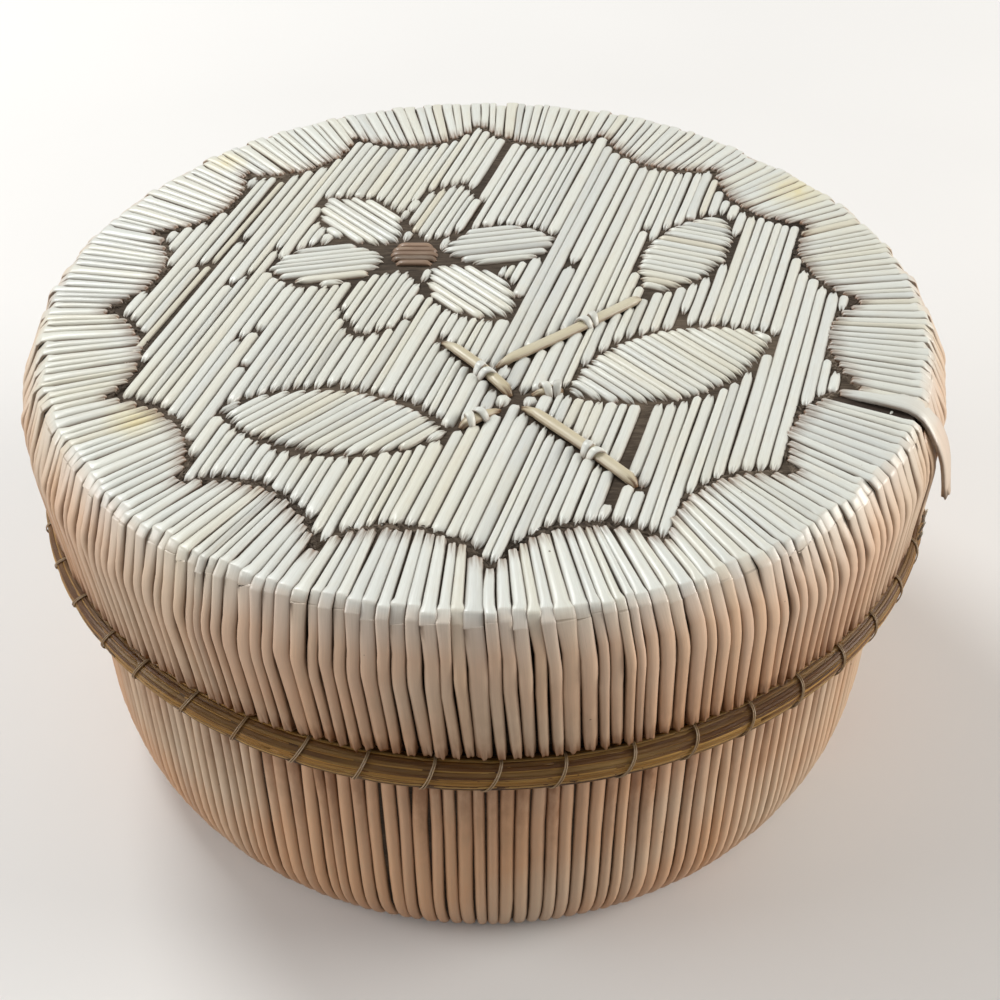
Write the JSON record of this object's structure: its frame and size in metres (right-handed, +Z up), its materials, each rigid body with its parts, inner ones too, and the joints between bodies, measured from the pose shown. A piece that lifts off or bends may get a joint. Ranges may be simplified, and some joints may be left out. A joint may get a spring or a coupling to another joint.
{
  "type": "quilled birch bark box",
  "caption": "Round birch bark box with a lift-off lid, covered in laid porcupine quills, with a scalloped quill border, a quilled sprig and a bound grass rim.",
  "frame": {"origin": "centre of the underside, on the box axis", "axes": "+Z up along the box axis; -Y is the front, as pictured; +X is to the right"},
  "size_m": [0.1245, 0.1246, 0.0661],
  "materials": {
    "outer_bark": "matte",
    "lining_bark": "satin",
    "natural_quill": "glossy keratin, cream",
    "brown_quill": "glossy keratin, brown",
    "tan_quill": "glossy keratin, tan",
    "sweetgrass": "silky dried grass",
    "thread": "waxed thread"
  },
  "bodies": {
    "base": {"base_bottom_bark": "outer_bark", "base_wall_bark": "outer_bark", "base_lining_disc": "lining_bark", "base_collar_band": "lining_bark", "base_quills_front": "natural_quill", "base_quills_right": "natural_quill", "base_quills_back": "natural_quill", "base_quills_left": "natural_quill"},
    "lid": {"lid_top_bark": "outer_bark", "lid_wall_bark": "outer_bark", "lid_lining_disc": "lining_bark", "lid_lining_band": "lining_bark", "border_quills_front": "natural_quill", "border_quills_right": "natural_quill", "border_quills_back": "natural_quill", "border_quills_left": "natural_quill", "field_quills_left": "natural_quill", "field_quills_middle": "natural_quill", "field_quills_right": "natural_quill", "petal_quills": "natural_quill", "flower_eye_quills": "brown_quill", "leaf_quills_front": "natural_quill", "leaf_quills_left": "natural_quill", "leaf_quills_right": "natural_quill", "stem_quills": "tan_quill", "stem_ties": "natural_quill", "loose_quill": "natural_quill", "rim_grass": "sweetgrass", "rim_stitches": "thread"}
  },
  "joints": [
    {"name": "lid_lift", "type": "slide", "parent": "base", "child": "lid", "axis": [0, 0, 1], "range_m": [0, 0.03]}
  ]
}
